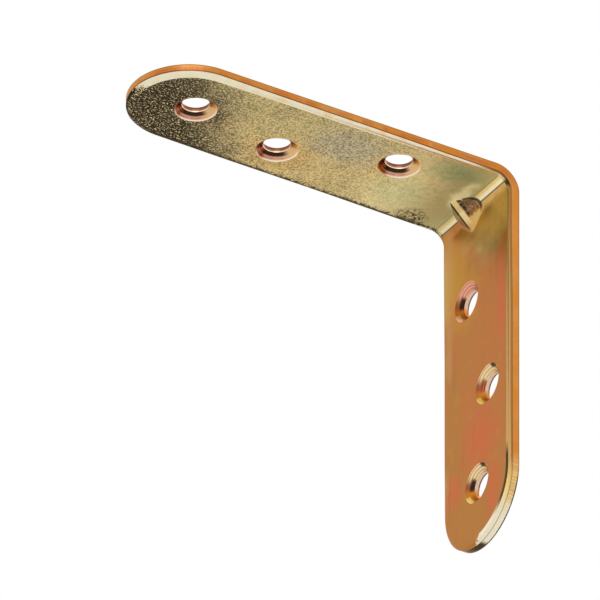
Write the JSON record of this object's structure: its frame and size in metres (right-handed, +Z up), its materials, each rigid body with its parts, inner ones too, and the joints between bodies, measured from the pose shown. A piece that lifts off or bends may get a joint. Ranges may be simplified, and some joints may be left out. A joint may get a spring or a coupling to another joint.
{
  "type": "angle bracket",
  "caption": "Folded steel angle bracket with two equal round-ended legs, staggered countersunk screw holes and a pressed rib across the inside of the corner.",
  "frame": {"origin": "the sharp outer corner where the planes of the two outer faces meet, midway across the strip", "axes": "+Z up and out of the outer face of the leg that lies along -X; +X out of the outer face of the leg that hangs down along -Z; +Y across the strip"},
  "size_m": [0.08, 0.0244, 0.08],
  "materials": {
    "plated_steel": "yellow passivated zinc plating, satin"
  },
  "bodies": {
    "root": {"bracket": "plated_steel"}
  },
  "joints": []
}
